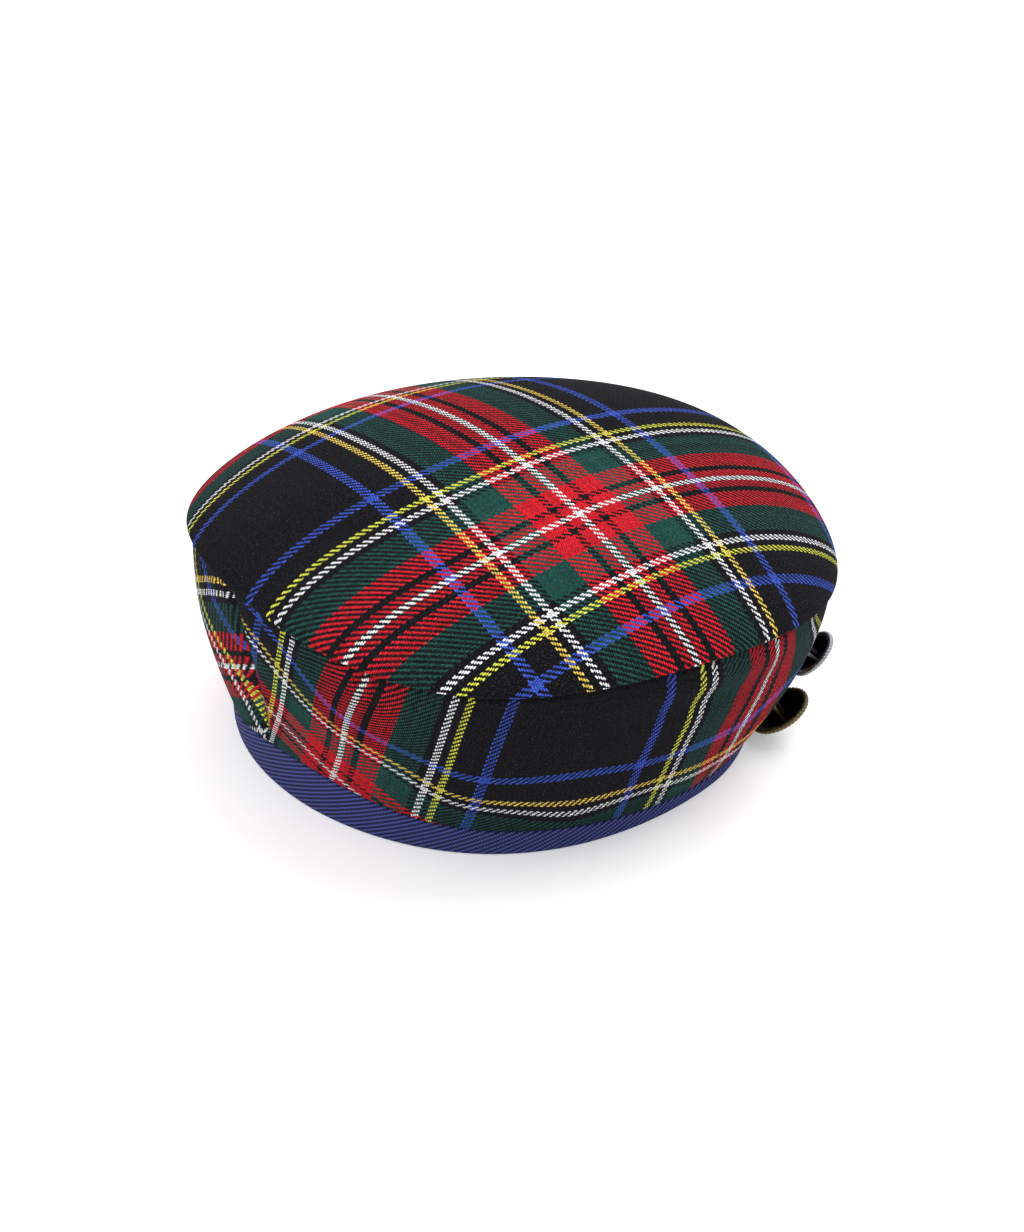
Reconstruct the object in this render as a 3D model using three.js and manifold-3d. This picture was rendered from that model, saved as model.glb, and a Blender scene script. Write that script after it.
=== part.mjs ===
// A tartan tam o shanter that rests on its bound rim.
//
// A domed crown disc rolls over at its edge and tucks back to a seam. Two curved side panels
// hang from that seam and narrow to a blue binding, which is the face the cap rests on. Two
// odd shank buttons hang on the wall at the +X side. Units are millimetres, +Z is up, -Y is
// the front, and azimuth is measured from +X towards +Y, in degrees.

import * as THREE from 'three';
import Module from 'manifold-3d';
import { mergeVertices } from 'three/addons/utils/BufferGeometryUtils.js';

// The cap is soft and not quite round, so its form is given by twelve upright sections:
// azimuth, the crown edge's radius and height, the crown seam's radius and height, the rim's
// radius, the height of the binding's top, and the wall's swell at half height.
const SECTIONS = [
  [-180, 102.5, 75.7, 100.5, 75.2, 94.3, 4.6, 3.9],
  [-150, 100.6, 83.4, 98.7, 81.8, 88.4, 14.9, 2.4],
  [-120, 100.9, 80.0, 99.8, 78.4, 82.6, 13.8, 2.1],
  [-90, 100.2, 75.3, 99.1, 73.8, 79.3, 8.9, 2.1],
  [-60, 100.8, 77.3, 99.5, 75.8, 77.2, 5.9, 2.8],
  [-30, 104.2, 71.3, 102.6, 70.2, 80.7, 3.9, 3.5],
  [0, 104.7, 65.9, 102.8, 65.1, 88.1, 4.6, 6.8],
  [30, 100.6, 72.2, 97.2, 71.1, 92.0, 6.6, 5.4],
  [60, 97.5, 73.3, 93.7, 72.1, 93.5, 7.4, 4.5],
  [90, 98.8, 68.9, 94.8, 67.8, 94.5, 8.6, 4.0],
  [120, 99.5, 69.7, 96.3, 68.7, 96.0, 8.8, 4.0],
  [150, 101.7, 70.8, 99.0, 70.1, 97.2, 10.5, 4.4],
].map(([azimuth, edgeRadius, edgeHeight, seamRadius, seamHeight, rimRadius, bandTop, bulge]) => ({
  azimuth, edgeRadius, edgeHeight, seamRadius, seamHeight, rimRadius, bandTop, bulge,
}));

const APEX_HEIGHT = 102.9;
const DOME_FLATNESS = 1.74;          // higher leaves the middle of the crown flatter
const DOME_FLATNESS_LEAN = [0.3, 0.2]; // how much more towards +X and towards +Y
const DOME_SHOULDER = 0.7;           // lower makes the edge of the crown rounder
const RIM_PRESS = 3.0;               // how far the rim is pushed in at 0 degrees, by the buttons
const RIM_PRESS_REACH = 32;          // and how many degrees to either side that reaches

const CLOTH = 2.0;                   // backed wool cloth
const BINDING = 2.8;                 // cloth folded over the rim, both sides
const BINDING_PROUD = 0.4;
const BINDING_EDGE = 0.8;            // rounding of the fold along its top
const GAP = 0.3;

// The two wall seams: azimuth at the rim, and how far each leans and bows by the crown seam.
const SEAM_LEFT = { rimAzimuth: -149, lean: 20.3, bow: -17.2 };
const SEAM_RIGHT = { rimAzimuth: 38, lean: 0, bow: 0 };

const CROWN_COLUMNS = 72;
const PANEL_COLUMNS = 36;
const DOME_ROWS = 12;
const LAST_INNER_DOME_ROW = 9;
const TUCK_ROWS = 3;
const WALL_ROWS = 7;

const BUTTONS = [
  {
    name: 'button_silver', radius: 9.0, dome: 3.4, colour: 0xb9bcc0, roughness: 0.3,
    azimuth: -4.4, height: 30.0, facing: -3, droop: 41, reach: 4.5, slant: 1.2,
  },
  {
    name: 'button_brass', radius: 10.8, dome: 3.8, colour: 0x6b5a36, roughness: 0.4,
    azimuth: -10.0, height: 13.9, facing: -6, droop: 56, reach: 5.7, slant: 1.6,
  },
];
const BUTTON_SHEET = 0.8;            // metal thickness of a button's shell
const BUTTON_EDGE = 0.9;             // radius of the rope edge
const BUTTON_SIDES = 32;
const SHANK_WIRE = 0.65;             // radius of the shank's wire
const SHANK_WIDTH = 5.0;             // between the middles of its two legs
const SHANK_BEND = 1.6;              // radius of the wire's two bends

const TURN = 2 * Math.PI;

function radians(degrees) {
  return degrees * Math.PI / 180;
}

// A smooth closed curve through one column of the sections: a sum of waves with as many
// terms as there are sections, so it passes through every one of them.
function around(column, azimuth) {
  const count = SECTIONS.length;
  let sum = 0;
  for (const section of SECTIONS) {
    const angle = radians(azimuth - section.azimuth);
    const half = Math.tan(angle / 2);
    const weight = Math.abs(half) < 1e-9 ? 1 : Math.sin(count * angle / 2) / (count * half);
    sum += weight * section[column];
  }
  return sum;
}

function leaning(middle, lean, azimuth) {
  return middle + lean[0] * Math.cos(radians(azimuth)) + lean[1] * Math.sin(radians(azimuth));
}

// All sizes of the upright section at one azimuth.
function sectionAt(azimuth) {
  return {
    edgeRadius: around('edgeRadius', azimuth),
    edgeHeight: around('edgeHeight', azimuth),
    seamRadius: around('seamRadius', azimuth),
    seamHeight: around('seamHeight', azimuth),
    rimRadius: around('rimRadius', azimuth),
    bandTop: around('bandTop', azimuth),
    flatness: leaning(DOME_FLATNESS, DOME_FLATNESS_LEAN, azimuth),
    bulge: around('bulge', azimuth),
    press: rimPress(azimuth),
  };
}

// Radius and height on the crown's dome, where share runs from 0 at the apex to 1 at the edge.
function domePoint(section, share) {
  const fall = (1 - share ** section.flatness) ** DOME_SHOULDER;
  return [section.edgeRadius * share, section.edgeHeight + (APEX_HEIGHT - section.edgeHeight) * fall];
}

// The same point moved into the crown by the thickness of the cloth.
function domeInnerPoint(section, share) {
  if (share === 0) return [0, APEX_HEIGHT - CLOTH];
  const step = 0.001;
  const [radius, height] = domePoint(section, share);
  const [outerRadius, outerHeight] = domePoint(section, share + step);
  const along = new THREE.Vector2(outerRadius - radius, outerHeight - height).normalize();
  return [radius + CLOTH * along.y, height - CLOTH * along.x];
}

// How far the rim is pushed in at an azimuth, from -180 to 180.
function rimPress(azimuth) {
  const reach = Math.min(Math.abs(azimuth) / RIM_PRESS_REACH, 1);
  return RIM_PRESS * (1 - reach ** 2) ** 2;
}

// The binding stands upright on the rim, and the wall flares and swells from its top.
function wallRadius(section, height) {
  const share = Math.max(0, (height - section.bandTop) / (section.seamHeight - section.bandTop));
  const rim = section.rimRadius - section.press;
  const straight = rim + (section.seamRadius - rim) * share;
  return straight + section.bulge * 4 * share * (1 - share);
}

function place([radius, height], azimuth) {
  return [radius * Math.cos(radians(azimuth)), radius * Math.sin(radians(azimuth)), height];
}

// A closed body from columns of points that each run once round the section. Columns join up
// round the cap, or the two end columns are closed off where the body is a stretch of wall.
function bodyFromColumns(columns, closedRound) {
  const rows = columns[0].length;
  const triangles = [];
  const quad = (a, b, c, d) => triangles.push(a, b, c, a, c, d);
  const steps = closedRound ? columns.length : columns.length - 1;
  for (let i = 0; i < steps; i += 1) {
    const here = columns[i];
    const next = columns[(i + 1) % columns.length];
    for (let j = 0; j < rows; j += 1) {
      const up = (j + 1) % rows;
      quad(here[j], next[j], next[up], here[up]);
    }
  }
  if (!closedRound) {
    const first = columns[0];
    const last = columns[columns.length - 1];
    for (let j = 0; j < rows / 2 - 1; j += 1) {
      const across = rows - 1 - j;
      quad(first[j], first[j + 1], first[across - 1], first[across]);
      quad(last[j], last[across], last[across - 1], last[j + 1]);
    }
  }
  const solid = new THREE.BufferGeometry();
  solid.setAttribute('position', new THREE.Float32BufferAttribute(triangles.flat(), 3));
  return withoutSlivers(mergeVertices(solid, 1e-4));
}

// Drops the triangles that have no area, where points of a column meet on the axis.
function withoutSlivers(solid) {
  const index = solid.index.array;
  const kept = [];
  for (let i = 0; i < index.length; i += 3) {
    const [a, b, c] = [index[i], index[i + 1], index[i + 2]];
    if (a !== b && b !== c && c !== a) kept.push(a, b, c);
  }
  solid.setIndex(kept);
  return solid;
}

// The crown: over the dome, round the rolled edge, back under it to the seam, and up inside.
function crownGeometry() {
  const columns = [];
  for (let i = 0; i < CROWN_COLUMNS; i += 1) {
    const azimuth = 360 * i / CROWN_COLUMNS - 180;
    const section = sectionAt(azimuth);
    const share = (row) => Math.sin(row / DOME_ROWS * TURN / 4);
    const profile = [];
    for (let row = 0; row <= DOME_ROWS; row += 1) profile.push(domePoint(section, share(row)));
    for (let row = 1; row <= TUCK_ROWS; row += 1) {
      const angle = row / TUCK_ROWS * TURN / 4;
      profile.push([
        section.edgeRadius - (section.edgeRadius - section.seamRadius) * (1 - Math.cos(angle)),
        section.edgeHeight - (section.edgeHeight - section.seamHeight) * Math.sin(angle),
      ]);
    }
    profile.push([section.seamRadius - CLOTH, section.seamHeight]);
    for (let row = LAST_INNER_DOME_ROW; row >= 0; row -= 1) {
      profile.push(domeInnerPoint(section, share(row)));
    }
    columns.push(profile.reverse().map((point) => place(point, azimuth)));
  }
  return bodyFromColumns(columns, true);
}

// Azimuth of a wall seam, where share runs from 0 at the binding to 1 at the crown seam.
function seamAzimuth(seam, share) {
  return seam.rimAzimuth + seam.lean * share + seam.bow * share ** 2;
}

// One side panel: a wall of cloth between two seams, from the binding up to the crown seam.
function panelGeometry(start, end, turn) {
  const columns = [];
  const outer = Array.from({ length: WALL_ROWS + 1 }, (_, row) => row / WALL_ROWS);
  for (let i = 0; i <= PANEL_COLUMNS; i += 1) {
    const wallPoint = (share, depth) => {
      const from = seamAzimuth(start, share);
      const to = seamAzimuth(end, share) + turn;
      const middle = from + (to - from) * i / PANEL_COLUMNS;
      const nudge = (GAP / 2) / (around('rimRadius', middle) * TURN / 360);
      const azimuth = middle + nudge * (1 - 2 * i / PANEL_COLUMNS);
      const section = sectionAt(azimuth);
      const bottom = section.bandTop + GAP;
      const height = bottom + (section.seamHeight - GAP - bottom) * share;
      return place([wallRadius(section, height) - depth, height], azimuth);
    };
    const outside = outer.map((share) => wallPoint(share, 0));
    const inside = outer.map((share) => wallPoint(share, CLOTH)).reverse();
    columns.push([...outside, ...inside]);
  }
  return bodyFromColumns(columns, false);
}

// The binding: a folded strip round the rim, flat where it rests and rounded along its top.
function headbandGeometry() {
  const columns = [];
  for (let i = 0; i < CROWN_COLUMNS; i += 1) {
    const azimuth = 360 * i / CROWN_COLUMNS - 180;
    const section = sectionAt(azimuth);
    const outer = (height) => wallRadius(section, height) + BINDING_PROUD;
    const shoulder = section.bandTop - BINDING_EDGE;
    const middle = section.bandTop / 2;
    const profile = [
      [outer(0), 0],
      [outer(middle), middle],
      [outer(shoulder), shoulder],
      [outer(section.bandTop) - BINDING_EDGE, section.bandTop],
      [outer(section.bandTop) - BINDING + BINDING_EDGE, section.bandTop],
      [outer(shoulder) - BINDING, shoulder],
      [outer(middle) - BINDING, middle],
      [outer(0) - BINDING, 0],
    ];
    columns.push(profile.map((point) => place(point, azimuth)));
  }
  return bodyFromColumns(columns, true);
}

// A button's shell, hollow behind, about its own axis: its rope edge lies round height 0 and
// its domed face is on the +Z side.
function shellGeometry(button) {
  const edgeMiddle = button.radius - BUTTON_EDGE;
  const domeHeight = (share) => button.dome * (1 - share ** 2);
  const profile = [];
  for (const share of [0, 0.3, 0.6, 0.8]) {
    profile.push(new THREE.Vector2(edgeMiddle * share, domeHeight(share) - BUTTON_SHEET));
  }
  for (let angle = -130; angle <= 130; angle += 52) {
    const out = BUTTON_EDGE * Math.cos(radians(angle));
    profile.push(new THREE.Vector2(edgeMiddle + out, BUTTON_EDGE * Math.sin(radians(angle))));
  }
  for (const share of [0.88, 0.65, 0.35, 0]) {
    profile.push(new THREE.Vector2(edgeMiddle * share, domeHeight(share)));
  }
  const lathe = new THREE.LatheGeometry(profile, BUTTON_SIDES);
  lathe.rotateX(TURN / 4);
  return lathe;
}

// The shank: a wire staple that stands on the back of the shell and reaches the cloth.
function shankGeometry(button) {
  const half = SHANK_WIDTH / 2;
  const foot = button.dome - BUTTON_SHEET;
  const top = -button.reach + (GAP + SHANK_WIRE) * button.slant;
  const corners = [
    [-half, foot],
    [-half, top + SHANK_BEND],
    [-half, top],
    [-half + SHANK_BEND, top],
    [half - SHANK_BEND, top],
    [half, top],
    [half, top + SHANK_BEND],
    [half, foot],
  ].map(([across, along]) => new THREE.Vector3(across, 0, along));
  const [a, b, c, d, e, f, g, h] = corners;
  const route = new THREE.CurvePath();
  route.add(new THREE.LineCurve3(a, b));
  route.add(new THREE.QuadraticBezierCurve3(b, c, d));
  route.add(new THREE.LineCurve3(d, e));
  route.add(new THREE.QuadraticBezierCurve3(e, f, g));
  route.add(new THREE.LineCurve3(g, h));
  const round = new THREE.Shape().absarc(0, 0, SHANK_WIRE, 0, TURN);
  return new THREE.ExtrudeGeometry(round, { steps: 24, curveSegments: 4, extrudePath: route });
}

const manifold = await Module();
manifold.setup();

function toSolid(geometry) {
  const bare = geometry.clone();
  bare.deleteAttribute('normal');
  bare.deleteAttribute('uv');
  const merged = withoutSlivers(mergeVertices(bare, 1e-4));
  return new manifold.Manifold(new manifold.Mesh({
    numProp: 3,
    vertProperties: new Float32Array(merged.attributes.position.array),
    triVerts: new Uint32Array(merged.index.array),
  }));
}

function fromSolid(solid) {
  const mesh = solid.getMesh();
  const geometry = new THREE.BufferGeometry();
  geometry.setAttribute('position', new THREE.BufferAttribute(mesh.vertProperties, 3));
  geometry.setIndex(new THREE.BufferAttribute(mesh.triVerts, 1));
  return geometry;
}

function addPiece(group, name, geometry, look) {
  geometry.computeVertexNormals();
  const mesh = new THREE.Mesh(geometry, new THREE.MeshStandardMaterial(look));
  mesh.name = name;
  group.add(mesh);
  return mesh;
}

// A button hangs from a point on the wall: its axis faces out and droops below the level.
function addButton(group, button) {
  const section = sectionAt(button.azimuth);
  const sewn = place([wallRadius(section, button.height), button.height], button.azimuth);
  const flat = Math.cos(radians(button.droop));
  const axis = new THREE.Vector3(
    flat * Math.cos(radians(button.facing)),
    flat * Math.sin(radians(button.facing)),
    -Math.sin(radians(button.droop)),
  );
  const level = new THREE.Vector3(-Math.sin(radians(button.facing)), Math.cos(radians(button.facing)), 0);
  const across = new THREE.Vector3().crossVectors(axis, level);
  const solid = toSolid(shellGeometry(button)).add(toSolid(shankGeometry(button)));
  const mesh = addPiece(group, button.name, fromSolid(solid), {
    color: button.colour, roughness: button.roughness, metalness: 1,
  });
  mesh.quaternion.setFromRotationMatrix(new THREE.Matrix4().makeBasis(level, across, axis));
  mesh.position.set(...sewn).addScaledVector(axis, button.reach);
  return mesh;
}

const cap = new THREE.Group();
const tartan = { color: 0x1b1c22, roughness: 0.85, metalness: 0 };
addPiece(cap, 'crown_top', crownGeometry(), tartan);
addPiece(cap, 'side_panel_front', panelGeometry(SEAM_LEFT, SEAM_RIGHT, 0), tartan);
addPiece(cap, 'side_panel_back', panelGeometry(SEAM_RIGHT, SEAM_LEFT, 360), tartan);
addPiece(cap, 'headband', headbandGeometry(), { color: 0x2f3a78, roughness: 0.8, metalness: 0 });
for (const button of BUTTONS) addButton(cap, button);

// The origin is on the resting face, under the middle of the whole cap.
const middle = new THREE.Box3().setFromObject(cap, true).getCenter(new THREE.Vector3());
cap.position.set(-middle.x, -middle.y, 0);

const group = new THREE.Group();
group.add(cap);

export default group;
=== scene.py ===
# A tartan tam o shanter resting on its bound rim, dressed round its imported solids.
#
# Lengths are in millimetres until they go into a mesh, which is in metres. +Z is up and -Y is
# the front. Azimuth is measured about the crown's middle from +X towards +Y, in degrees.

import bpy
import numpy as np
from mathutils import Matrix, Vector


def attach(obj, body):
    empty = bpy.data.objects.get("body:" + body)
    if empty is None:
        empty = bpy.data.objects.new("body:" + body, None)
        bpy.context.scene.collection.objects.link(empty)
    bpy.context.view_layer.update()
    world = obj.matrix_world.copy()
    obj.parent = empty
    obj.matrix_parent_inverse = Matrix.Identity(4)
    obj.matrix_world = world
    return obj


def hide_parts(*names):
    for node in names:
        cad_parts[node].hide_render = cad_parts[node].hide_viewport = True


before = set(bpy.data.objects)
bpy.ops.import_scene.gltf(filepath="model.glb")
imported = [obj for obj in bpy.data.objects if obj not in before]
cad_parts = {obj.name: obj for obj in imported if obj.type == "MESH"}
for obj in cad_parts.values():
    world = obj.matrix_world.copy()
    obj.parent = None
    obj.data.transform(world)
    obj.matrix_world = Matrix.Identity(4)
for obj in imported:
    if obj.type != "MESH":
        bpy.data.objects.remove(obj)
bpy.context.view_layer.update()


# The camera stands where the photographer stood: about half a metre away, above the front of
# the cap, looking down on it with a normal lens and held a degree out of level.
CAMERA_PLACE = (-1.362, -438.61, 326.80)
CAMERA_DOWN = 33.627
CAMERA_ROLL = 1.069
CAMERA_LENS = 45.99

down, roll = np.radians(CAMERA_DOWN), np.radians(CAMERA_ROLL)
level = Vector((1, 0, 0))
upright = Vector((0, np.sin(down), np.cos(down)))
ahead = Vector((0, np.cos(down), -np.sin(down)))
camera_right = np.cos(roll) * level + np.sin(roll) * upright
camera_up = np.cos(roll) * upright - np.sin(roll) * level
camera_data = bpy.data.cameras.new("photo_camera")
camera_data.lens = CAMERA_LENS
camera_data.sensor_width = 36
camera_data.clip_start = 0.02
camera = bpy.data.objects.new("photo_camera", camera_data)
camera.matrix_world = Matrix.Translation(Vector(CAMERA_PLACE) / 1000) @ Matrix(
    (camera_right, camera_up, -ahead)).transposed().to_4x4()
bpy.context.scene.collection.objects.link(camera)
bpy.context.scene.camera = camera


# The floor is a plain white table top, lit by a soft white room and two large soft lamps, as
# in a product photograph.
FLOOR_HALF_WIDTH = 4.0
FLOOR_GRAIN_SCALE = 3.0
ROOM_STRENGTH = 0.93
FLOOR_GLOW = 0.2
LAMPS = (
    # name, place in metres, width in metres, power in watts
    ("lamp_overhead", (0.5, 0.4, 1.3), 1.2, 14.0),
    ("lamp_left", (-0.95, -0.3, 1.0), 1.0, 5.0),
)
LAMPS_AIM = (0, 0, 0.06)


def link(tree, source, target):
    """Joins an output socket to an input socket, or sets the input when the source is a value."""
    if isinstance(source, bpy.types.NodeSocket):
        tree.links.new(source, target)
    elif source is not None:
        target.default_value = source


def node(tree, kind, inputs=(), **settings):
    """A new node with its settings, and with its inputs joined or set in their order."""
    made = tree.nodes.new(kind)
    for name, value in settings.items():
        setattr(made, name, value)
    for target, source in zip(made.inputs, inputs):
        link(tree, source, target)
    return made


def calc(tree, operation, *terms):
    """The result socket of a Math node on sockets or numbers."""
    return node(tree, "ShaderNodeMath", terms, operation=operation).outputs[0]


def blend(tree, factor, a, b, mode="MIX"):
    """The result socket of a colour mix of a and b."""
    mixer = node(tree, "ShaderNodeMix", data_type="RGBA", blend_type=mode)
    link(tree, factor, mixer.inputs["Factor"])
    link(tree, a, mixer.inputs["A"])
    link(tree, b, mixer.inputs["B"])
    return mixer.outputs["Result"]


def paint(red, green, blue):
    """A colour as seen on a screen, from 0 to 255, turned into the linear values of light."""
    share = np.array([red, green, blue]) / 255
    linear = np.where(share > 0.04045, ((share + 0.055) / 1.055) ** 2.4, share / 12.92)
    return (*(float(value) for value in linear), 1.0)


def noise(tree, where, scale, detail=2.0, roughness=0.5, dimensions="2D"):
    """A noise texture read at a place."""
    made = node(tree, "ShaderNodeTexNoise", noise_dimensions=dimensions)
    settings = {"Vector": where, "Scale": scale, "Detail": detail, "Roughness": roughness}
    for name, value in settings.items():
        link(tree, value, made.inputs[name])
    return made


def new_material(name, **shader_values):
    """A material with one Principled shader, and the shader's fixed values set on its sockets."""
    material = bpy.data.materials.new(name)
    material.use_nodes = True
    shader = material.node_tree.nodes["Principled BSDF"]
    for key, value in shader_values.items():
        shader.inputs[key.replace("_", " ")].default_value = value
    return material, material.node_tree, shader


floor_mesh = bpy.data.meshes.new("floor")
floor_corners = [
    (x * FLOOR_HALF_WIDTH, y * FLOOR_HALF_WIDTH, 0) for x, y in ((-1, -1), (1, -1), (1, 1), (-1, 1))]
floor_mesh.from_pydata(floor_corners, [], [(0, 1, 2, 3)])
floor = bpy.data.objects.new("floor", floor_mesh)
bpy.context.scene.collection.objects.link(floor)
floor_material, floor_tree, floor_shader = new_material("white_table", Roughness=0.7)
floor_place = node(floor_tree, "ShaderNodeTexCoord")
floor_grain = noise(floor_tree, floor_place.outputs["Object"], FLOOR_GRAIN_SCALE, dimensions="3D")
floor_colour = blend(floor_tree, floor_grain.outputs[0], paint(247, 247, 248), paint(250, 250, 250))
link(floor_tree, floor_colour, floor_shader.inputs["Base Color"])
floor_shader.inputs["Emission Color"].default_value = (1, 1, 1, 1)
floor_shader.inputs["Emission Strength"].default_value = FLOOR_GLOW
floor_mesh.materials.append(floor_material)

for name, place, width, power in LAMPS:
    lamp = bpy.data.lights.new(name, "AREA")
    lamp.size = width
    lamp.energy = power
    lamp_object = bpy.data.objects.new(name, lamp)
    lamp_object.location = place
    aim = Vector(LAMPS_AIM) - Vector(place)
    lamp_object.rotation_euler = aim.to_track_quat("-Z", "Y").to_euler()
    bpy.context.scene.collection.objects.link(lamp_object)

room = bpy.data.worlds.new("soft_room")
room.use_nodes = True
room.node_tree.nodes["Background"].inputs["Color"].default_value = (1, 1, 1, 1)
room.node_tree.nodes["Background"].inputs["Strength"].default_value = ROOM_STRENGTH
bpy.context.scene.world = room
bpy.context.scene.view_settings.view_transform = "Standard"


# The crown is one disc of tartan wool, pulled into a low dome by the wall seam. Its edge rolls
# over and tucks back under to the seam. It lies over the head, and nothing else holds it up.
SECTIONS = np.array([
    # azimuth, edge radius and height, seam radius and height, rim radius, band top, swell
    (-180, 102.5, 75.7, 100.5, 75.2, 94.3, 4.6, 3.9),
    (-150, 100.6, 83.4, 98.7, 81.8, 88.4, 14.9, 2.4),
    (-120, 100.9, 80.0, 99.8, 78.4, 82.6, 13.8, 2.1),
    (-90, 100.2, 75.3, 99.1, 73.8, 79.3, 8.9, 2.1),
    (-60, 100.8, 77.3, 99.5, 75.8, 77.2, 5.9, 2.8),
    (-30, 104.2, 71.3, 102.6, 70.2, 80.7, 3.9, 3.5),
    (0, 104.7, 65.9, 102.8, 65.1, 88.1, 4.6, 6.8),
    (30, 100.6, 72.2, 97.2, 71.1, 92.0, 6.6, 5.4),
    (60, 97.5, 73.3, 93.7, 72.1, 93.5, 7.4, 4.5),
    (90, 98.8, 68.9, 94.8, 67.8, 94.5, 8.6, 4.0),
    (120, 99.5, 69.7, 96.3, 68.7, 96.0, 8.8, 4.0),
    (150, 101.7, 70.8, 99.0, 70.1, 97.2, 10.5, 4.4),
])
EDGE_RADIUS, EDGE_HEIGHT, SEAM_RADIUS, SEAM_HEIGHT, RIM_RADIUS, BAND_TOP, SWELL = range(1, 8)
CROWN_MIDDLE = (-2.682, 0.700)
APEX_HEIGHT = 102.9
DOME_FLATNESS = 1.74
DOME_FLATNESS_LEAN = (0.3, 0.2)
DOME_SHOULDER = 0.7
CLOTH = 2.0
CROWN_COLUMNS = 360
CROWN_ROWS = 90
TUCK_ROWS = 10
INNER_SHARE = 0.75                   # how much of the dome has an inner face of its own
# The crown's cloth: its turn on the cap, and how it lies on the dome. Each row is a power of
# the length across and along in 100 mm, and the mm of cloth that their product adds.
CLOTH_TURN = 0.615
CLOTH_LIE = (
    # power across, power along, mm across, mm along
    (0, 0, 6.73, 44.77), (0, 1, 0.66, 98.68), (0, 2, -0.18, 1.95), (0, 3, -4.95, 4.61),
    (0, 4, 0.11, -6.03), (0, 5, 3.34, -8.16), (1, 0, 99.57, 0.04), (1, 1, 2.37, 8.05),
    (1, 2, -0.91, 6.45), (1, 3, -4.56, 1.10), (1, 4, 3.37, 4.58), (2, 0, -1.60, -2.47),
    (2, 1, 3.73, 6.93), (2, 2, 2.16, 13.55), (2, 3, -5.69, -1.15), (3, 0, -1.98, -5.69),
    (3, 1, -2.20, -23.28), (3, 2, 10.90, -15.02), (4, 0, 0.09, 6.84), (4, 1, -7.51, 0.22),
    (5, 0, -0.34, -3.85),
)
THREAD_ACROSS = 0.570
THREAD_ALONG = 0.532


def around(column, azimuth):
    """A smooth closed curve through one column of the sections: a sum of waves with as many
    terms as there are sections, so it passes through every one of them."""
    count = len(SECTIONS)
    angle = np.radians(np.asarray(azimuth, float)[..., None] - SECTIONS[:, 0])
    half = np.tan(angle / 2)
    at_section = np.abs(half) < 1e-9
    weight = np.sin(count * angle / 2) / (count * np.where(at_section, 1, half))
    return (np.where(at_section, 1, weight) * SECTIONS[:, column]).sum(-1)


def dome_point(azimuth, share):
    """Radius and height on the dome: the radius grows evenly to the edge, and the height falls
    as one minus a power of the share, raised to a lower power that rounds the shoulder."""
    lean = DOME_FLATNESS_LEAN
    turn = np.radians(azimuth)
    flatness = DOME_FLATNESS + lean[0] * np.cos(turn) + lean[1] * np.sin(turn)
    fall = np.maximum(1 - share ** flatness, 0) ** DOME_SHOULDER
    edge_height = around(EDGE_HEIGHT, azimuth)
    return around(EDGE_RADIUS, azimuth) * share, edge_height + (APEX_HEIGHT - edge_height) * fall


def place(radius, height, azimuth):
    """Points in metres from radius and height about the crown's middle."""
    turn = np.radians(azimuth)
    return np.stack([
        radius * np.cos(turn) + CROWN_MIDDLE[0],
        radius * np.sin(turn) + CROWN_MIDDLE[1],
        height + 0 * turn,
    ], -1) / 1000


def run_length(radius, height):
    """Length along each profile, from its first row: the sum of the straight steps."""
    steps = np.hypot(np.diff(radius, axis=1), np.diff(height, axis=1))
    return np.concatenate([np.zeros((len(radius), 1)), np.cumsum(steps, axis=1)], 1)


def sheet(points, cloth, closed_round, poles=False):
    """A closed body from columns of points that each run once round its section. Faces join
    neighbours in both directions, the ends are closed across, and poles close to one point.
    cloth holds a place on the cloth for each point, with one more column when closed round.
    It returns the points, each face corner's point, each face's corner count and the cloth."""
    columns, rows = points.shape[:2]
    wide = columns if closed_round else columns - 1
    tall = rows - 1 if poles else rows
    i, j = (grid.ravel() for grid in np.meshgrid(np.arange(wide), np.arange(tall), indexing="ij"))
    i_next, j_next = i + 1, (j + 1) % rows
    corners = np.stack([np.stack([i, j], -1), np.stack([i_next, j], -1),
                        np.stack([i_next, j_next], -1), np.stack([i, j_next], -1)], 1)
    if not closed_round:
        half = np.arange(rows // 2 - 1)
        across = rows - 1 - half
        for column, order in ((0, 1), (columns - 1, -1)):
            ring = np.stack([half, half + 1, across - 1, across], -1)[:, ::order]
            corners = np.concatenate([corners, np.stack([np.full_like(ring, column), ring], -1)])
    index = (corners[..., 0] % columns) * rows + corners[..., 1]
    if poles:
        for row in (0, rows - 1):
            index[index % rows == row] = row
    used, index = np.unique(index, return_inverse=True)
    index = index.reshape(-1, 4)
    kept = index != np.roll(index, 1, axis=1)
    corner_cloth = cloth[corners[..., 0], corners[..., 1]][kept]
    return points.reshape(-1, 3)[used], index[kept], kept.sum(1), corner_cloth


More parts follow.
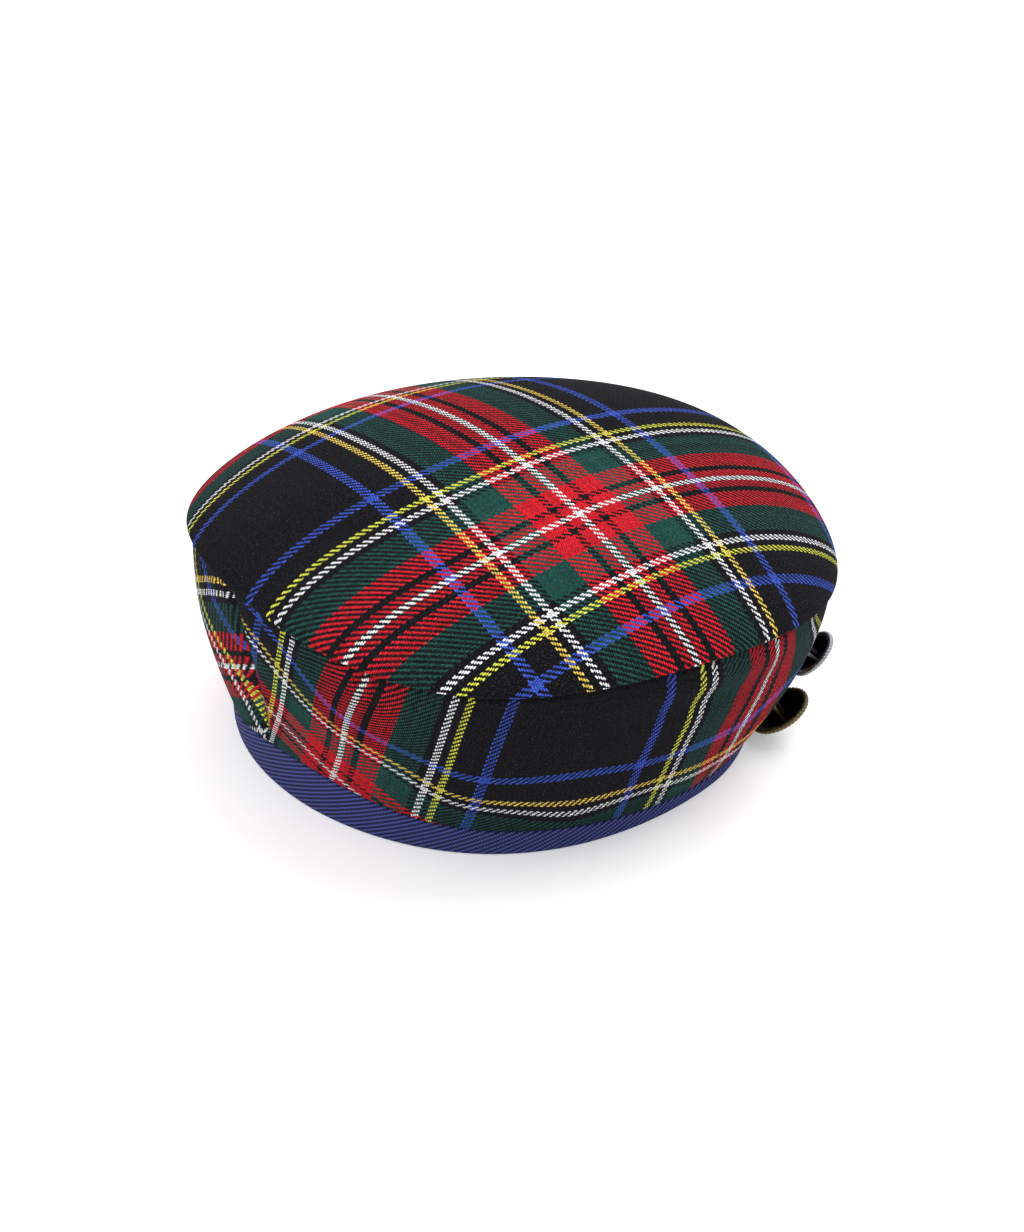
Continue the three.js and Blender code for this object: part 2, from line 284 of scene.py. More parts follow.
def make_piece(name, *sheets):
    """One object from one or more closed sheets, with their cloth places as its UV map."""
    mesh = bpy.data.meshes.new(name)
    first = np.cumsum([0] + [len(points) for points, *_ in sheets])
    points = np.concatenate([part[0] for part in sheets])
    corner_point = np.concatenate([part[1] + start for part, start in zip(sheets, first)])
    corner_count = np.concatenate([part[2] for part in sheets])
    corner_cloth = np.concatenate([part[3] for part in sheets])
    mesh.vertices.add(len(points))
    mesh.vertices.foreach_set("co", points.astype(np.float32).ravel())
    mesh.loops.add(len(corner_point))
    mesh.loops.foreach_set("vertex_index", corner_point.astype(np.int32))
    mesh.polygons.add(len(corner_count))
    mesh.polygons.foreach_set("loop_start", (np.cumsum(corner_count) - corner_count).astype(np.int32))
    mesh.polygons.foreach_set("use_smooth", np.ones(len(corner_count), bool))
    layer = mesh.uv_layers.new(name="cloth")
    layer.data.foreach_set("uv", corner_cloth.astype(np.float32).ravel())
    mesh.update()
    mesh.validate()
    piece = bpy.data.objects.new(name, mesh)
    bpy.context.scene.collection.objects.link(piece)
    return piece


def crown_cloth(azimuth, length):
    """Threads across and along at a place on the crown: the length from the apex laid out flat
    in its azimuth, turned to the cloth's own grain, eased by a sum of products of powers, and
    counted in threads."""
    turn = np.radians(azimuth) - CLOTH_TURN
    across, along = length * np.cos(turn) / 100, length * np.sin(turn) / 100
    lie = [across ** i * along ** j * np.array([u, v])[:, None, None] for i, j, u, v in CLOTH_LIE]
    mm_across, mm_along = sum(lie)
    return np.stack([mm_across / THREAD_ACROSS, mm_along / THREAD_ALONG], -1)


# Dome from the apex to the edge, then the tuck to the seam, then back up inside.
crown_azimuth = (np.arange(CROWN_COLUMNS + 1) * 360 / CROWN_COLUMNS - 180)[:, None]
dome_share = np.sin(np.linspace(0, 0.5 * np.pi, CROWN_ROWS + 1))[None]
dome_radius, dome_height = dome_point(crown_azimuth, dome_share)
tuck = np.linspace(0, 0.5 * np.pi, TUCK_ROWS + 1)[None, 1:]
edge_radius, edge_height, seam_radius, seam_height = (
    around(column, crown_azimuth) for column in (EDGE_RADIUS, EDGE_HEIGHT, SEAM_RADIUS, SEAM_HEIGHT))
tuck_radius = edge_radius - (edge_radius - seam_radius) * (1 - np.cos(tuck))
tuck_height = edge_height - (edge_height - seam_height) * np.sin(tuck)
outer_radius = np.concatenate([dome_radius, tuck_radius], 1)
outer_height = np.concatenate([dome_height, tuck_height], 1)
outer_length = run_length(outer_radius, outer_height)
inner_rows = int(CROWN_ROWS * INNER_SHARE)
slope_radius = np.gradient(dome_radius, axis=1)[:, :inner_rows]
slope_height = np.gradient(dome_height, axis=1)[:, :inner_rows]
slope = np.hypot(slope_radius, slope_height)
inner_radius = dome_radius[:, :inner_rows] + CLOTH * slope_height / slope
inner_height = dome_height[:, :inner_rows] - CLOTH * slope_radius / slope
inner_radius[:, 0], inner_height[:, 0] = 0, APEX_HEIGHT - CLOTH
crown_radius = np.concatenate([outer_radius, seam_radius - CLOTH, inner_radius[:, ::-1]], 1)[:, ::-1]
crown_height = np.concatenate([outer_height, seam_height, inner_height[:, ::-1]], 1)[:, ::-1]
crown_length = np.concatenate([
    outer_length, outer_length[:, -1:] - CLOTH, outer_length[:, inner_rows - 1::-1]], 1)[:, ::-1]
crown_points = place(crown_radius, crown_height, crown_azimuth)
crown = make_piece("crown_tartan", sheet(
    crown_points[:-1], crown_cloth(crown_azimuth, crown_length), closed_round=True, poles=True))


# Colours of the dyed yarns, and the order of the threads from the middle of the white line in
# the red block to the middle of the broad black one, where the order turns back.
YARN_BLACK = paint(25, 25, 29)
YARN_RED = paint(207, 34, 46)
YARN_GREEN = paint(34, 76, 70)
YARN_BLUE = paint(62, 88, 190)
YARN_WHITE = paint(240, 240, 242)
YARN_GOLD = paint(232, 200, 92)
YARN_LEMON = paint(214, 216, 78)
FIBRE_COLOUR = paint(150, 152, 158)
HALF_SETT = 127
THREAD_ORDER = (
    (0, "white"), (2, "red"), (8, "black"), (12, "red"), (25, "green"), (45, "black"),
    (49, "white"), (53, "black"), (57, "yellow"), (61, "black"), (77, "blue"), (83, "black"),
)
# How the yarn departs from a perfect one. Scales are for a place counted in threads.
WAVER_SCALE = 0.55                   # how fast the yarns wander sideways, by up to half a thread
FUZZ_SCALE = 1.3
FUZZ_SHADE = (1.5, 0.25)             # shade is the first times the fuzz, plus the second
YARN_SHADE = (0.5, 0.76)             # the same, for a random number of each thread
YARN_GAP_PAINTED_SHADE = (1.0, 0.12)           # painted shade, the same way, from the height of the yarn's back: darker where it dives under and at its sides
LINT_SCALE = 0.9
LINT_RANGE = (0.6, 0.8, 0.0, 0.28)   # from this to this in the noise, this to this much lint
YARN_ROUNDNESS = 2.4
DIVE_ROUNDNESS = 3.0
DIVE_DEPTH = 0.75


def new_group(name, inputs, outputs):
    """An empty shader node group with named sockets."""
    group = bpy.data.node_groups.new(name, "ShaderNodeTree")
    for direction, sockets in (("INPUT", inputs), ("OUTPUT", outputs)):
        for socket_name, kind in sockets:
            group.interface.new_socket(socket_name, in_out=direction, socket_type=kind)
    return group, group.nodes.new("NodeGroupInput"), group.nodes.new("NodeGroupOutput")


# Two-up two-down twill. It reads threads across and along, and gives which yarn is on top,
# how high its round back stands, and the number of the thread that is on top.
twill, twill_in, twill_out = new_group(
    "two_two_twill", [("Threads", "NodeSocketVector")],
    [("Across On Top", "NodeSocketFloat"), ("Height", "NodeSocketFloat"),
     ("Thread", "NodeSocketVector")])
parts = node(twill, "ShaderNodeSeparateXYZ", [twill_in.outputs[0]])
x_floor, y_floor = (calc(twill, "FLOOR", parts.outputs[k]) for k in (0, 1))
x_part, y_part = (calc(twill, "FRACT", parts.outputs[k]) for k in (0, 1))
phase = calc(twill, "FLOORED_MODULO", calc(twill, "ADD", x_floor, y_floor), 4.0)
on_top = calc(twill, "LESS_THAN", phase, 1.5)
beside = node(twill, "ShaderNodeMix", [on_top, None, y_part, x_part]).outputs[0]
along_float = node(twill, "ShaderNodeMix", [
    on_top, None, calc(twill, "SUBTRACT", phase, 2.0), phase]).outputs[0]
lengthwise = node(twill, "ShaderNodeMix", [on_top, None, x_part, y_part]).outputs[0]
from_middle = calc(twill, "SUBTRACT", calc(twill, "ADD", along_float, lengthwise), 1.0)
off_side = calc(twill, "ABSOLUTE", calc(twill, "MULTIPLY_ADD", beside, 2.0, -1.0))
round_back = calc(twill, "SUBTRACT", 1.0, calc(twill, "POWER", off_side, YARN_ROUNDNESS))
off_end = calc(twill, "POWER", calc(twill, "ABSOLUTE", from_middle), DIVE_ROUNDNESS)
dive = calc(twill, "SUBTRACT", 1.0, calc(twill, "MULTIPLY", off_end, DIVE_DEPTH))
link(twill, on_top, twill_out.inputs["Across On Top"])
link(twill, calc(twill, "MULTIPLY", round_back, dive), twill_out.inputs["Height"])
thread_id = node(twill, "ShaderNodeCombineXYZ", [
    calc(twill, "MULTIPLY", x_floor, on_top),
    calc(twill, "MULTIPLY", y_floor, calc(twill, "SUBTRACT", 1.0, on_top)), on_top])
link(twill, thread_id.outputs[0], twill_out.inputs["Thread"])


def yarn_stripes(tree, threads, yellow):
    """Colour of the threads of one direction, counted from the crossing and turned back at
    each end of the half sett."""
    thread_middle = calc(tree, "ADD", calc(tree, "FLOOR", threads), 0.5)
    place_in_sett = calc(tree, "PINGPONG", thread_middle, HALF_SETT)
    ramp = node(tree, "ShaderNodeValToRGB", [calc(tree, "DIVIDE", place_in_sett, HALF_SETT)])
    ramp.color_ramp.interpolation = "CONSTANT"
    yarns = {"white": YARN_WHITE, "red": YARN_RED, "black": YARN_BLACK, "green": YARN_GREEN,
             "blue": YARN_BLUE, "yellow": yellow}
    stops = ramp.color_ramp.elements
    stops[0].color = yarns[THREAD_ORDER[0][1]]
    stops[1].position = THREAD_ORDER[1][0] / HALF_SETT
    stops[1].color = yarns[THREAD_ORDER[1][1]]
    for start, yarn in THREAD_ORDER[2:]:
        stop = stops.new(start / HALF_SETT)
        stop.color = yarns[yarn]
    return ramp.outputs["Color"]


def shaded(tree, colour, share):
    """The colour times a share of light."""
    grey = node(tree, "ShaderNodeCombineXYZ", [share] * 3).outputs[0]
    return blend(tree, 1.0, colour, grey, "MULTIPLY")


# The tartan: which yarn shows, its colour by its place in the sett, its uneven spinning, and
# painted shade where each yarn dives under and at its sides.
tartan, tartan_in, tartan_out = new_group(
    "tartan_cloth", [("Threads", "NodeSocketVector")],
    [("Color", "NodeSocketColor"), ("Height", "NodeSocketFloat"), ("Roughness", "NodeSocketFloat")])
waver = noise(tartan, tartan_in.outputs[0], WAVER_SCALE)
sideways = node(tartan, "ShaderNodeVectorMath", [waver.outputs["Color"], (-0.5, -0.5, 0.0)])
wavering = node(tartan, "ShaderNodeVectorMath", [tartan_in.outputs[0], sideways.outputs[0]])
weave = node(tartan, "ShaderNodeGroup", node_tree=twill)
link(tartan, wavering.outputs[0], weave.inputs["Threads"])
counts = node(tartan, "ShaderNodeSeparateXYZ", [wavering.outputs[0]])
yarn_colour = blend(tartan, weave.outputs["Across On Top"],
                    yarn_stripes(tartan, counts.outputs[1], YARN_LEMON),
                    yarn_stripes(tartan, counts.outputs[0], YARN_GOLD))
uneven_yarn = node(tartan, "ShaderNodeTexWhiteNoise", [weave.outputs["Thread"]])
fuzz = noise(tartan, tartan_in.outputs[0], FUZZ_SCALE, detail=3.0)
shade = calc(tartan, "MULTIPLY",
             calc(tartan, "MULTIPLY_ADD", uneven_yarn.outputs["Value"], *YARN_SHADE),
             calc(tartan, "MULTIPLY_ADD", fuzz.outputs[0], *FUZZ_SHADE))
# painted shade: each yarn darker where it dives under its neighbours and at its sides, by the height of its
# back
depth = calc(tartan, "MULTIPLY_ADD", weave.outputs["Height"], *YARN_GAP_PAINTED_SHADE)
lit = shaded(tartan, yarn_colour, calc(tartan, "MULTIPLY", shade, depth))
lint = noise(tartan, tartan_in.outputs[0], LINT_SCALE, detail=4.0, roughness=0.7)
fibre = node(tartan, "ShaderNodeMapRange", [lint.outputs[0], *LINT_RANGE]).outputs[0]
link(tartan, blend(tartan, fibre, lit, FIBRE_COLOUR), tartan_out.inputs["Color"])
link(tartan, weave.outputs["Height"], tartan_out.inputs["Height"])
link(tartan, calc(tartan, "MULTIPLY_ADD", uneven_yarn.outputs["Value"], 0.1, 0.8),
     tartan_out.inputs["Roughness"])


def emboss(tree, height, strength, distance, shader):
    """Raises a shader's surface by a height, over a distance in metres."""
    bump = node(tree, "ShaderNodeBump")
    bump.inputs["Strength"].default_value = strength
    bump.inputs["Distance"].default_value = distance
    link(tree, height, bump.inputs["Height"])
    link(tree, bump.outputs[0], shader.inputs["Normal"])


def tartan_material(name, unshaded_share):
    """Tartan wool that follows the piece's own cloth map, which counts its threads. An unshaded
    share below one blends it towards near black: painted shade, for a piece that lies in shade."""
    material, tree, shader = new_material(name, Specular_IOR_Level=0.03)
    cloth_map = node(tree, "ShaderNodeUVMap", uv_map="cloth")
    cloth = node(tree, "ShaderNodeGroup", [cloth_map.outputs[0]], node_tree=tartan)
    # painted shade: the colour is blended towards near black by whatever share is left out
    link(tree, blend(tree, unshaded_share, paint(12, 12, 14), cloth.outputs["Color"]),
         shader.inputs["Base Color"])
    link(tree, cloth.outputs["Roughness"], shader.inputs["Roughness"])
    emboss(tree, cloth.outputs["Height"], 0.6, 0.00025, shader)
    return material


crown.data.materials.append(tartan_material("crown_tartan_wool", 1.0))
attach(crown, "root")
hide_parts("crown_top")


# The wall is two curved panels of the same tartan, sewn to the crown above and to each other
# at the left and at the hidden right. They flare and swell outwards from the binding.
RIM_PRESS = 3.0                      # how far the buttons press the rim in, and to what azimuth
RIM_PRESS_REACH = 32
SEAM_LEFT = (-149, 20.3, -17.2)      # azimuth at the binding, and its lean and bow to the crown
SEAM_RIGHT = (38, 0, 0)
# painted shade: the wall's tartan keeps this share of its colour and the rest goes to near black, for the
# shade the wall lies in
WALL_SHARE_UNDER_PAINTED_SHADE = 0.8
GAP = 0.3
PANEL_COLUMNS = 260
WALL_ROWS = 110
CLOTH_DEPTHS = np.array([0, 12, 32, 62])
FRONT_CLOTH = np.array([
    # azimuth, mm up the sett at the four depths below the seam, mm along the sett there
    (-150, 40.5, 27.0, 7.4, -23.8, -69.8, -64.3, -53.0, -33.5),
    (-140, 45.6, 32.9, 13.7, -16.9, -51.7, -46.5, -37.5, -19.0),
    (-130, 54.0, 42.1, 22.8, -4.1, -33.5, -28.8, -19.9, -3.0),
    (-120, 67.9, 58.4, 32.2, 4.8, -15.3, -9.1, -0.9, 11.5),
    (-110, 79.6, 71.1, 41.3, 14.4, 4.1, 8.7, 15.7, 25.3),
    (-100, 85.9, 72.2, 49.3, 18.9, 22.9, 26.2, 31.3, 39.2),
    (-90, 87.9, 72.6, 50.3, 21.9, 40.0, 43.0, 47.5, 53.5),
    (-75, 88.7, 74.2, 50.9, 28.0, 67.7, 69.1, 73.2, 75.5),
    (-60, 88.4, 76.7, 54.2, 25.9, 98.2, 96.5, 98.1, 98.1),
    (-45, 84.2, 73.5, 53.3, 28.2, 126.1, 122.2, 123.5, 119.9),
    (-37, 80.7, 69.7, 51.5, 27.1, 142.0, 136.5, 136.1, 132.3),
    (-30, 77.3, 65.9, 47.6, 27.9, 158.6, 149.5, 143.7, 142.6),
    (-22, 73.6, 62.0, 44.2, 26.3, 175.6, 161.7, 153.6, 154.1),
    (-12, 69.7, 59.0, 41.9, 20.6, 190.6, 176.0, 167.6, 168.6),
    (0, 66.3, 55.9, 38.7, 13.8, 207.4, 196.9, 187.2, 186.9),
    (20, 61.7, 50.7, 32.2, 4.3, 237.3, 230.6, 222.0, 220.1),
    (40, 57.0, 45.3, 25.8, -3.5, 269.4, 264.5, 257.3, 254.5),
])
BACK_CLOTH = np.array([
    (38, 76.6, 64.6, 44.6, 14.6, -243.3, -243.4, -243.6, -243.8),
    (80, 75.9, 63.9, 43.9, 13.9, -169.8, -169.9, -170.1, -170.4),
    (120, 73.9, 61.9, 41.9, 11.9, -99.6, -99.8, -100.2, -100.7),
    (150, 69.2, 57.2, 37.2, 7.2, -46.7, -47.1, -47.8, -48.7),
    (170, 62.6, 50.6, 30.6, 0.5, -11.0, -11.9, -13.3, -15.4),
    (180, 57.8, 45.7, 25.7, -4.5, 7.1, 5.6, 2.9, -1.2),
    (190, 51.8, 39.8, 19.7, -10.9, 25.1, 22.5, 18.1, 10.7),
    (200, 44.0, 32.6, 12.5, -18.8, 41.5, 37.1, 28.6, 18.0),
    (212, 35.8, 23.4, 1.8, -29.4, 55.5, 47.9, 34.1, 29.7),
])
SEAM_DIP = (0.9, 1.1)                # how deep the cloth dips into the crown seam, and how wide
SIDE_DIP = (1.3, 2.2)                # the same for the seams between the panels
STITCH_DIP = (0.22, 4.2, 0.6)        # the stitches below the crown seam: depth, place, width
SOFT_FOLDS = (
    # azimuth, mm below the seam, half width round and down, mm of slant per degree, height
    (-52, 8, 16, 6, 0.05, 1.1), (-54, 18, 15, 5, 0.1, -1.0), (-120, 22, 10, 14, -0.4, 0.8),
    (-104, 30, 7, 18, -0.3, -0.6), (-88, 26, 9, 16, 0.2, 0.5), (-72, 36, 8, 16, 0.3, -0.6),
    (-30, 24, 7, 18, 0.5, -0.7), (-165, 26, 7, 20, 0.3, 0.9), (100, 30, 16, 14, 0.2, 0.9),
    (60, 24, 9, 16, -0.3, -0.7), (150, 28, 12, 18, 0.2, -0.8),
)
PUCKERS = 46                         # small gathers round the crown seam
PUCKER_HEIGHT = 0.28
PUCKER_START = 3
PUCKER_FADE = 9
RELIEF_START = 6                     # mm above the binding where the cloth is free to fold


def wall_radius(azimuth, height):
    """Radius of the wall's outer face: upright up to the binding's top, then straight out to
    the seam, plus a swell that is highest half way up."""
    seam, top, band = around(SEAM_HEIGHT, azimuth), around(SEAM_RADIUS, azimuth), around(BAND_TOP, azimuth)
    share = np.maximum(0, (height - band) / (seam - band))
    turned = np.abs((np.asarray(azimuth) + 180) % 360 - 180)
    press = RIM_PRESS * (1 - np.minimum(turned / RIM_PRESS_REACH, 1) ** 2) ** 2
    rim = around(RIM_RADIUS, azimuth) - press
    return rim + (top - rim) * share + around(SWELL, azimuth) * 4 * share * (1 - share)


def spline(at, places, values):
    """A natural cubic curve through the values at the places: its bend at each place solves
    the usual three-term equations, and is none at the two ends."""
    step = np.diff(places)
    count = len(places)
    left, right = np.eye(count), np.zeros((count, count))
    for k in range(1, count - 1):
        left[k, k - 1:k + 2] = step[k - 1], 2 * (step[k - 1] + step[k]), step[k]
        right[k, k - 1:k + 2] = 6 / step[k - 1], -6 / step[k - 1] - 6 / step[k], 6 / step[k]
    bend = np.linalg.solve(left, right @ values)
    k = np.clip(np.searchsorted(places, at) - 1, 0, count - 2)
    a = (places[k + 1] - at) / step[k]
    b = 1 - a
    return (a * values[k] + b * values[k + 1]
            + ((a ** 3 - a) * bend[k] + (b ** 3 - b) * bend[k + 1]) * step[k] ** 2 / 6)


def wall_cloth(table, azimuth, depth):
    """Threads on the wall: each table column is a smooth curve round the cap, and a smooth
    curve down the wall joins the four depths."""
    count = len(CLOTH_DEPTHS)
    weights = [spline(depth, CLOTH_DEPTHS, row) for row in np.eye(count)]
    up, along = (sum(weight * spline(azimuth, table[:, 0], table[:, first + k])
                     for k, weight in enumerate(weights)) for first in (1, 1 + count))
    return np.stack([-up / THREAD_ACROSS, along / THREAD_ALONG], -1)


def soft_relief(azimuth, depth, from_side_seam):
    """How far the cloth stands out from its plain form: it dips into the seams and at the row
    of stitches, gathers a little below the crown seam, and has a few broad soft folds."""
    relief = -SEAM_DIP[0] * np.exp(-(depth / SEAM_DIP[1]) ** 2)
    relief -= SIDE_DIP[0] * np.exp(-(from_side_seam / SIDE_DIP[1]) ** 2)
    relief -= STITCH_DIP[0] * np.exp(-((depth - STITCH_DIP[1]) / STITCH_DIP[2]) ** 2)
    turn = np.radians(azimuth)
    waves = np.sin(PUCKERS * turn + 2 * np.sin(5 * turn))
    waves += 0.6 * np.sin(1.7 * PUCKERS * turn + 3 * np.cos(3 * turn))
    waves *= np.exp(-depth / PUCKER_FADE) * (1 - np.exp(-(depth / PUCKER_START) ** 2))
    relief += PUCKER_HEIGHT * waves
    for place_round, place_down, half_round, half_down, slant, height in SOFT_FOLDS:
        off = (azimuth - place_round + 180) % 360 - 180
        down_off = depth - place_down - slant * off
        relief += height * np.exp(-(off / half_round) ** 2 - (down_off / half_down) ** 2)
    return relief


def wall_panel(name, start, end, turn, table):
    """A wall panel: columns run up the outside from the binding to the seam and down inside,
    and step from one panel seam to the other, a little closer together beside the seams,
    which both lean and bow with height."""
    share = np.linspace(0, 1, WALL_ROWS + 1)[None]
    even = np.linspace(0, 1, PANEL_COLUMNS + 1)[:, None]
    step = 0.75 * even + 0.25 * (0.5 - 0.5 * np.cos(np.pi * even))
    first = start[0] + start[1] * share + start[2] * share ** 2
    last = end[0] + end[1] * share + end[2] * share ** 2 + turn
    middle = first + (last - first) * step
    mm_per_degree = around(RIM_RADIUS, middle) * np.pi / 180
    azimuth = middle + GAP / 2 / mm_per_degree * (1 - 2 * step)
    bottom = around(BAND_TOP, azimuth) + GAP
    height = bottom + (around(SEAM_HEIGHT, azimuth) - GAP - bottom) * share
    radius = wall_radius(azimuth, height)
    length = run_length(radius, height)
    depth = length[:, -1:] - length
    from_side_seam = (last - first) * np.minimum(step, 1 - step) * mm_per_degree
    outer = radius + soft_relief(azimuth, depth, from_side_seam) * np.minimum(length / RELIEF_START, 1)
    outside = place(outer, height, azimuth)
    inside = place(radius - CLOTH, height, azimuth)
    cloth = wall_cloth(table, azimuth, depth)
    return make_piece(name, sheet(np.concatenate([outside, inside[:, ::-1]], 1),
                                  np.concatenate([cloth, cloth[:, ::-1]], 1), closed_round=False))


front_panel = wall_panel("front_wall_tartan", SEAM_LEFT, SEAM_RIGHT, 0, FRONT_CLOTH)
back_panel = wall_panel("back_wall_tartan", SEAM_RIGHT, SEAM_LEFT, 360, BACK_CLOTH)
wall_wool = tartan_material("wall_tartan_wool_painted_shade", WALL_SHARE_UNDER_PAINTED_SHADE)
for panel, replaced in ((front_panel, "side_panel_front"), (back_panel, "side_panel_back")):
    panel.data.materials.append(wall_wool)
    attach(panel, "root")
    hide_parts(replaced)


# The binding is a strip of blue cotton twill folded over the raw edge of the wall and sewn
# through. The cap rests on its fold.
BINDING = 2.8
BINDING_PROUD = 0.4                  # how far it stands out from the wall's face
BINDING_EDGE = 0.8                   # the round at its top
BINDING_FOLD = 0.5                   # the slope at its foot
BAND_COLUMNS = 360
BAND_THREAD = (-0.8, 0.4)            # mm round the rim and up it, for ribs that rise at a low slant
BAND_YARNS = (paint(24, 27, 62), paint(68, 75, 136))

band_azimuth = (np.arange(BAND_COLUMNS + 1) * 360 / BAND_COLUMNS - 180)[:, None]
band_top = around(BAND_TOP, band_azimuth)
quarter = np.linspace(0, 0.5 * np.pi, 6)[None]
side_rows = np.linspace(0.05, 1, 9)[None] * (band_top - BINDING_EDGE)
height_out = np.concatenate([
    0 * band_top, side_rows, band_top - BINDING_EDGE * (1 - np.sin(quarter[:, 1:]))], 1)
shift_out = np.concatenate([
    BINDING_FOLD + 0 * band_top, 0 * side_rows,
    BINDING_EDGE * (1 - np.cos(quarter[:, 1:])) + 0 * band_top], 1)
face_height = np.minimum(height_out, band_top - BINDING_EDGE)
face_radius = wall_radius(band_azimuth, face_height) + BINDING_PROUD
radius_out = face_radius - shift_out
radius_in = face_radius - BINDING + shift_out
band_radius = np.concatenate([radius_out, radius_in[:, ::-1]], 1)
band_height = np.concatenate([height_out, height_out[:, ::-1]], 1)
band_points = place(band_radius, band_height, band_azimuth)
rim_step = np.hypot(*np.diff(band_points[:, 0, :2] * 1000, axis=0).T)
rim_length = np.concatenate([[0], np.cumsum(rim_step)])[:, None]
band_cloth = np.stack([
    rim_length + 0 * band_height, run_length(band_radius, band_height)], -1) / BAND_THREAD
band = make_piece("rim_binding", sheet(band_points[:-1], band_cloth, closed_round=True))

band_material, band_tree, band_shader = new_material("blue_twill_binding", Specular_IOR_Level=0.1)
band_map = node(band_tree, "ShaderNodeUVMap", uv_map="cloth")
band_weave = node(band_tree, "ShaderNodeGroup", [band_map.outputs[0]], node_tree=twill)
band_yarn = blend(band_tree, band_weave.outputs["Across On Top"], *BAND_YARNS)
# painted shade: the binding's yarns are darker where they dive under and at their sides, by the height of
# their backs
band_gap_painted_shade = calc(band_tree, "MULTIPLY_ADD", band_weave.outputs["Height"], 0.6, 0.5)
link(band_tree, shaded(band_tree, band_yarn, band_gap_painted_shade), band_shader.inputs["Base Color"])
link(band_tree, calc(band_tree, "MULTIPLY_ADD", band_weave.outputs["Height"], -0.15, 0.85),
     band_shader.inputs["Roughness"])
emboss(band_tree, band_weave.outputs["Height"], 0.5, 0.0002, band_shader)
band.data.materials.append(band_material)
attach(band, "root")
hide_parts("headband")


# The buttons are two odd stamped metal ones with rope edges, hung by wire shanks from the
# wall at the right. They hang face down, so the photograph sees their dark hollow backs.
BUTTONS = (
    # name, node, slot, radius, dome, azimuth, height, facing, droop, reach, slant
    ("silver_button", "button_silver", "silver_metal", 9.0, 3.4, -4.4, 30.0, -3, 41, 4.5, 1.2),
    ("brass_button", "button_brass", "old_brass", 10.8, 3.8, -10.0, 13.9, -6, 56, 5.7, 1.6),
)
BUTTON_SHEET = 0.8
ROPE_RADIUS = 0.9
ROPE_STRANDS = 44
BUTTON_SIDES = 264
BACK_ROWS, ROPE_ROWS, FRONT_ROWS = 14, 19, 22
ROPE_WRAP = 2.3                      # how far the rope is wrapped each way, in radians
FRONT_RING = (0.35, 0.62, 0.05)      # the raised ring: height, and place and width in shares
BACK_WEAR, ROPE_WEAR, FRONT_WEAR, SHANK_WEAR = 0.0, 1.0, 0.35, 0.9
SHANK_WIRE = 0.65
SHANK_WIDTH = 5.0
SHANK_BEND = 1.6
PATINA_SCALE = 420.0


def button_shell(radius, dome):
    """Points of a hollow stamped shell about its own axis: a parabola inside, the rope edge
    whose radius swells with each strand of the rope, and a parabola outside."""
    turn = (np.arange(BUTTON_SIDES + 1) * 2 * np.pi / BUTTON_SIDES)[:, None]
    middle = radius - ROPE_RADIUS
    inside = np.linspace(0, 0.86, BACK_ROWS)[None]
    wrap = np.linspace(-ROPE_WRAP, ROPE_WRAP, ROPE_ROWS)[None]
    outside = np.linspace(0.9, 0, FRONT_ROWS)[None]
    strand = 0.12 * np.cos(ROPE_STRANDS * turn + 1.4 * wrap) - 0.06
    rope = ROPE_RADIUS + strand
    out = np.concatenate([
        middle * inside + 0 * turn, middle + rope * np.cos(wrap), middle * outside + 0 * turn], 1)
    rise = np.concatenate([
        dome * (1 - inside ** 2) - BUTTON_SHEET + 0 * turn, rope * np.sin(wrap),
        dome * (1 - outside ** 2) + 0 * turn], 1)
    ring_height, ring_place, ring_width = FRONT_RING
    ring = ring_height * np.exp(-((out / middle - ring_place) / ring_width) ** 2)
    rise[:, BACK_ROWS + ROPE_ROWS:] += ring[:, BACK_ROWS + ROPE_ROWS:]
    return out, rise, turn


def tube(path, radius, sides=14):
    """Points round a path: at each point a ring square to the path, turned as little as can be
    from the one before, since the path stays in a plane."""
    ahead = np.gradient(path, axis=0)
    ahead /= np.linalg.norm(ahead, axis=1)[:, None]
    side = np.tile([0.0, 1.0, 0.0], (len(path), 1))
    lift = np.cross(ahead, side)
    turn = (np.arange(sides) * 2 * np.pi / sides)[None, :, None]
    return path[:, None] + radius * (np.cos(turn) * side[:, None] + np.sin(turn) * lift[:, None])


def shank_path(dome, reach, slant):
    """The middle line of the shank's wire: up from the shell, over in a flat bow with two
    rounded corners, and down again."""
    half, foot = SHANK_WIDTH / 2, dome - BUTTON_SHEET + 0.2
    top = -reach + (GAP + SHANK_WIRE) * slant
    corner = np.linspace(0, 0.5 * np.pi, 9)
    leg = np.linspace(foot, top + SHANK_BEND, 14)
    first = np.stack([np.full_like(leg, -half), leg], -1)
    bend = np.stack([-half + SHANK_BEND * (1 - np.cos(corner)), top + SHANK_BEND * (1 - np.sin(corner))], -1)
    left = np.concatenate([first, bend[1:]])
    right = left[::-1] * [-1, 1]
    flat = np.concatenate([left, right])
    return np.stack([flat[:, 0], 0 * flat[:, 0], flat[:, 1]], -1)


def button_axes(facing, droop):
    """The button's own level, across and outward directions."""
    facing, droop = np.radians(facing), np.radians(droop)
    axis = np.array([np.cos(droop) * np.cos(facing), np.cos(droop) * np.sin(facing), -np.sin(droop)])
    level = np.array([-np.sin(facing), np.cos(facing), 0.0])
    return np.stack([level, np.cross(axis, level), axis])


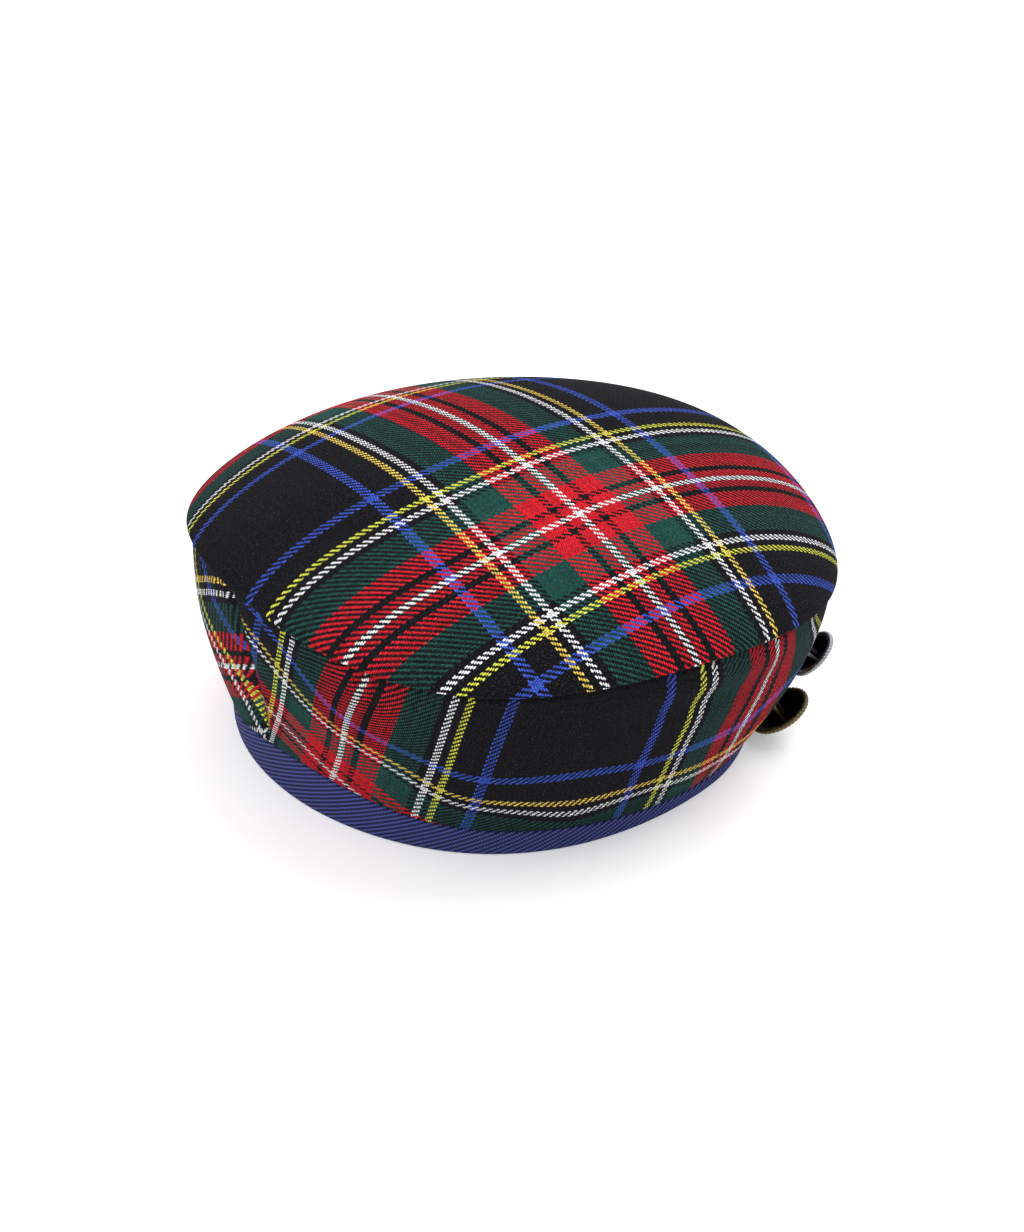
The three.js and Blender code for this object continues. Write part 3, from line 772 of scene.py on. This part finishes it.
def metal_material(name, bright, dark, rough):
    """Worn stamped metal: bright where the rope edge stands proud, dark with age elsewhere."""
    material, tree, shader = new_material(name, Metallic=1.0)
    where = node(tree, "ShaderNodeUVMap", uv_map="cloth")
    split = node(tree, "ShaderNodeSeparateXYZ", [where.outputs[0]])
    spot = node(tree, "ShaderNodeTexCoord")
    patina = noise(tree, spot.outputs["Object"], PATINA_SCALE, dimensions="3D").outputs[0]
    worn = calc(tree, "MULTIPLY", split.outputs[1], calc(tree, "MULTIPLY_ADD", patina, 0.8, 0.6))
    link(tree, blend(tree, calc(tree, "MINIMUM", worn, 1.0), dark, bright), shader.inputs["Base Color"])
    link(tree, calc(tree, "MULTIPLY_ADD", patina, 0.3, rough), shader.inputs["Roughness"])
    emboss(tree, patina, 0.15, 0.0002, shader)
    return material


METALS = {
    "silver_button": metal_material("worn_silver", paint(150, 151, 153), paint(9, 9, 10), 0.3),
    "brass_button": metal_material("old_brass_metal", paint(104, 93, 64), paint(18, 17, 13), 0.34),
}
for (name, replaced, slot, radius, dome, azimuth, height, facing, droop, reach, slant) in BUTTONS:
    axes = button_axes(facing, droop)
    centre = place(wall_radius(azimuth, height), height, azimuth) * 1000 + reach * axes[2]
    out, rise, turn = button_shell(radius, dome)
    local = np.stack([out * np.cos(turn), out * np.sin(turn), rise], -1)
    wear = np.repeat([BACK_WEAR, ROPE_WEAR, FRONT_WEAR], [BACK_ROWS, ROPE_ROWS, FRONT_ROWS])
    shell_map = np.stack([turn + 0 * out, wear + 0 * out], -1)
    shell = sheet((local @ axes + centre)[:-1] / 1000, shell_map, closed_round=True, poles=True)
    wire = tube(shank_path(dome, reach, slant), SHANK_WIRE)
    sides = wire.transpose(1, 0, 2) @ axes + centre
    middles = np.broadcast_to(sides.mean(0), sides.shape)
    sides = np.concatenate([middles[:, :1], sides, middles[:, -1:]], 1)
    wire_map = np.full((len(sides) + 1, sides.shape[1], 2), SHANK_WEAR)
    shank = sheet(sides / 1000, wire_map, closed_round=True, poles=True)
    button = make_piece(name, shell, shank)
    button.data.materials.append(METALS[name])
    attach(button, "root")
    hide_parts(replaced)
